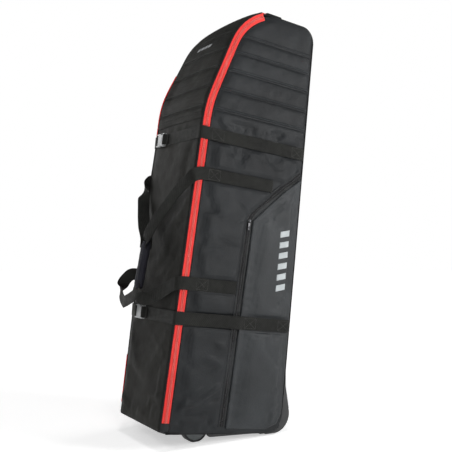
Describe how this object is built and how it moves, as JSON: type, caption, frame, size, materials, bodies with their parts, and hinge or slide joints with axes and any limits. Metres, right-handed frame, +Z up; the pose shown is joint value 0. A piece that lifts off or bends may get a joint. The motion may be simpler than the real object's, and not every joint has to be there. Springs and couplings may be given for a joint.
{
  "type": "golf travel case",
  "caption": "Tall soft-sided golf travel case on wheels, with a zipped fold-down quilted hood, side pocket, compression straps and a padded carry handle.",
  "frame": {"origin": "centre of the bounding box, on the floor that the case stands on", "axes": "+Z up, +X towards the side with the pocket, +Y towards the back panel and the wheels; the case stands leaning back by 7 degrees, as it rests on its feet and wheels"},
  "size_m": [0.3758, 0.5647, 1.3124],
  "materials": {
    "side_fabric": "fine ribbed nylon, faint sheen",
    "front_fabric": "fine ribbed nylon, faint sheen",
    "pocket_fabric": "fine ribbed nylon, faint sheen",
    "padding": "foam backed lining",
    "webbing": "woven polypropylene webbing",
    "zip_tape": "woven red zip tape",
    "pocket_zip_tape": "woven black zip tape",
    "piping": "woven piping",
    "grip": "padded nylon wrap",
    "slider_metal": "nickel plated",
    "dark_metal": "gunmetal plated",
    "pull_red": "moulded rubberised pull",
    "badge": "raised rubber badge",
    "buckle": "silver grey moulded acetal",
    "buckle_black": "black moulded acetal",
    "base_plastic": "textured moulded polypropylene",
    "grey_plastic": "textured moulded nylon",
    "housing_plastic": "textured moulded nylon",
    "board": "extruded polypropylene board",
    "foot_rubber": "moulded rubber",
    "tyre": "solid urethane tyre",
    "hub": "moulded nylon",
    "steel": "zinc plated steel"
  },
  "bodies": {
    "case": {"base_tray": "base_plastic", "base_board": "board", "base_screws": "steel", "back_panel": "side_fabric", "back_stiffener": "board", "right_side_panel": "side_fabric", "left_side_panel": "side_fabric", "right_side_padding": "padding", "left_side_padding": "padding", "front_panel": "front_fabric", "top_panel": "side_fabric", "rear_piping": "piping", "top_handle": "webbing", "zip_tape_shell": "zip_tape", "zip_tape_lid": "zip_tape", "pocket_panel": "pocket_fabric", "pocket_zip": "pocket_zip_tape", "upper_strap_right": "webbing", "upper_strap_left": "webbing", "upper_buckle_socket": "buckle", "lower_strap_right": "webbing", "lower_strap_left": "webbing", "lower_buckle_socket": "buckle", "right_handle_webbing": "webbing", "left_handle_webbing": "webbing", "handle_anchors": "webbing", "interior_straps": "webbing", "interior_buckles": "buckle_black", "right_foot": "grey_plastic", "left_foot": "grey_plastic", "right_foot_tread": "foot_rubber", "left_foot_tread": "foot_rubber", "right_skid": "base_plastic", "left_skid": "base_plastic", "right_wheel_housing": "housing_plastic", "left_wheel_housing": "housing_plastic", "right_axle": "steel", "left_axle": "steel"},
    "hood_body": {"hood": "front_fabric", "hood_padding": "padding", "zip_tape_hood": "zip_tape", "badge": "badge"},
    "right_wheel": {"right_wheel_hub": "hub", "right_wheel_tyre": "tyre", "right_wheel_bearings": "steel"},
    "left_wheel": {"left_wheel_hub": "hub", "left_wheel_tyre": "tyre", "left_wheel_bearings": "steel"},
    "right_slider": {"right_main_slider": "slider_metal"},
    "left_slider": {"left_main_slider": "slider_metal"},
    "right_pull": {"right_main_pull": "pull_red"},
    "left_pull": {"left_main_pull": "pull_red"},
    "pocket_slide": {"pocket_slider": "dark_metal"},
    "pocket_tab": {"pocket_pull": "dark_metal"},
    "upper_plug": {"upper_buckle_plug": "buckle"},
    "lower_plug": {"lower_buckle_plug": "buckle"},
    "grip": {"handle_grip": "grip"}
  },
  "joints": [
    {"name": "hood_fold", "type": "hinge", "parent": "case", "child": "hood_body", "pos_m": [0.0175, -0.13252, 0.95269], "axis": [1, 0, 0], "range_deg": [0, 120]},
    {"name": "right_wheel_spin", "type": "hinge", "parent": "case", "child": "right_wheel", "pos_m": [0.1125, 0.13778, 0.038], "axis": [1, 0, 0], "continuous": true},
    {"name": "left_wheel_spin", "type": "hinge", "parent": "case", "child": "left_wheel", "pos_m": [-0.0775, 0.13778, 0.038], "axis": [1, 0, 0], "continuous": true},
    {"name": "right_slider_travel", "type": "slide", "parent": "case", "child": "right_slider", "axis": [1, 0, 0], "range_m": [0, 0.09]},
    {"name": "left_slider_travel", "type": "slide", "parent": "case", "child": "left_slider", "axis": [-1, 0, 0], "range_m": [0, 0.09]},
    {"name": "right_pull_swing", "type": "hinge", "parent": "right_slider", "child": "right_pull", "pos_m": [0.0345, 0.08597, 1.29817], "axis": [0, -0.9925, 0.1219], "range_deg": [0, 140]},
    {"name": "left_pull_swing", "type": "hinge", "parent": "left_slider", "child": "left_pull", "pos_m": [0.0005, 0.08597, 1.29817], "axis": [0, 0.9925, -0.1219], "range_deg": [0, 140]},
    {"name": "pocket_slider_travel", "type": "slide", "parent": "case", "child": "pocket_slide", "axis": [0.0192, -0.1713, -0.985], "range_m": [0, 0.55]},
    {"name": "pocket_pull_swing", "type": "hinge", "parent": "pocket_slide", "child": "pocket_tab", "pos_m": [0.17599, 0.02223, 0.64446], "axis": [-0.001, -0.9852, 0.1713], "range_deg": [0, 170]},
    {"name": "upper_buckle_release", "type": "slide", "parent": "case", "child": "upper_plug", "axis": [-1, 0, 0], "range_m": [0, 0.026]},
    {"name": "lower_buckle_release", "type": "slide", "parent": "case", "child": "lower_plug", "axis": [-1, 0, 0], "range_m": [0, 0.026]},
    {"name": "grip_lift", "type": "slide", "parent": "case", "child": "grip", "axis": [0, -0.7111, 0.7031], "range_m": [0, 0.08], "deforming": ["right_handle_webbing", "left_handle_webbing"]}
  ]
}
